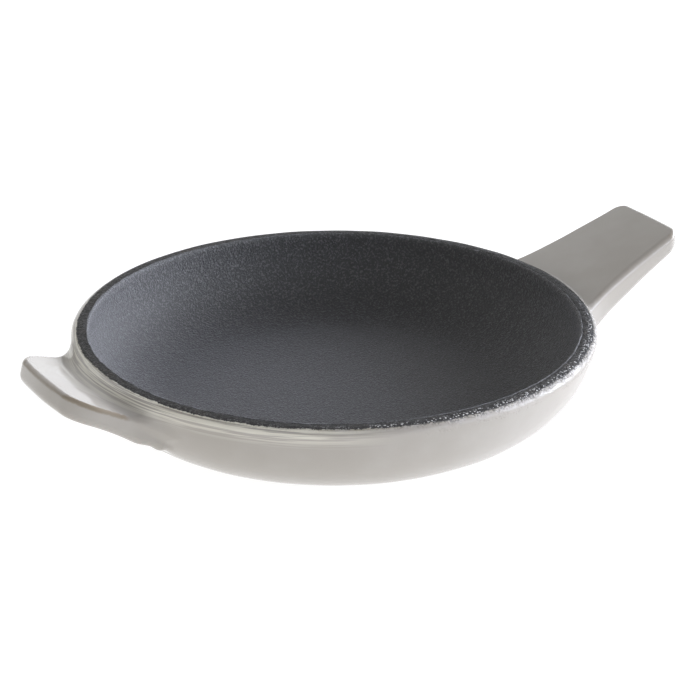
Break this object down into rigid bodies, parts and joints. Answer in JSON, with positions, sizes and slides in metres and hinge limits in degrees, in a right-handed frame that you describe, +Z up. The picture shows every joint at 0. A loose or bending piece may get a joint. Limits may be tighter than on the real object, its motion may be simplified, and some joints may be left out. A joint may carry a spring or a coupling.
{
  "type": "cast iron skillet",
  "caption": "Small shallow enamelled cast iron skillet with a short broad handle, a helper tab opposite it and a bare rim.",
  "frame": {"origin": "centre of the flat base, on the surface the skillet stands on", "axes": "+Z up out of the bowl, +X along the main handle, the helper tab along -X, +Y across"},
  "size_m": [0.2216, 0.1636, 0.04],
  "materials": {
    "cast_iron": "matte",
    "outer_enamel": "gloss",
    "inner_enamel": "satin",
    "rim": "matte"
  },
  "bodies": {
    "root": {"bowl_casting": "cast_iron", "handle_casting": "cast_iron", "helper_handle_casting": "cast_iron", "wall_enamel": "outer_enamel", "base_enamel": "outer_enamel", "handle_enamel": "outer_enamel", "helper_handle_enamel": "outer_enamel", "inner_enamel": "inner_enamel", "rim_band": "rim"}
  },
  "joints": []
}
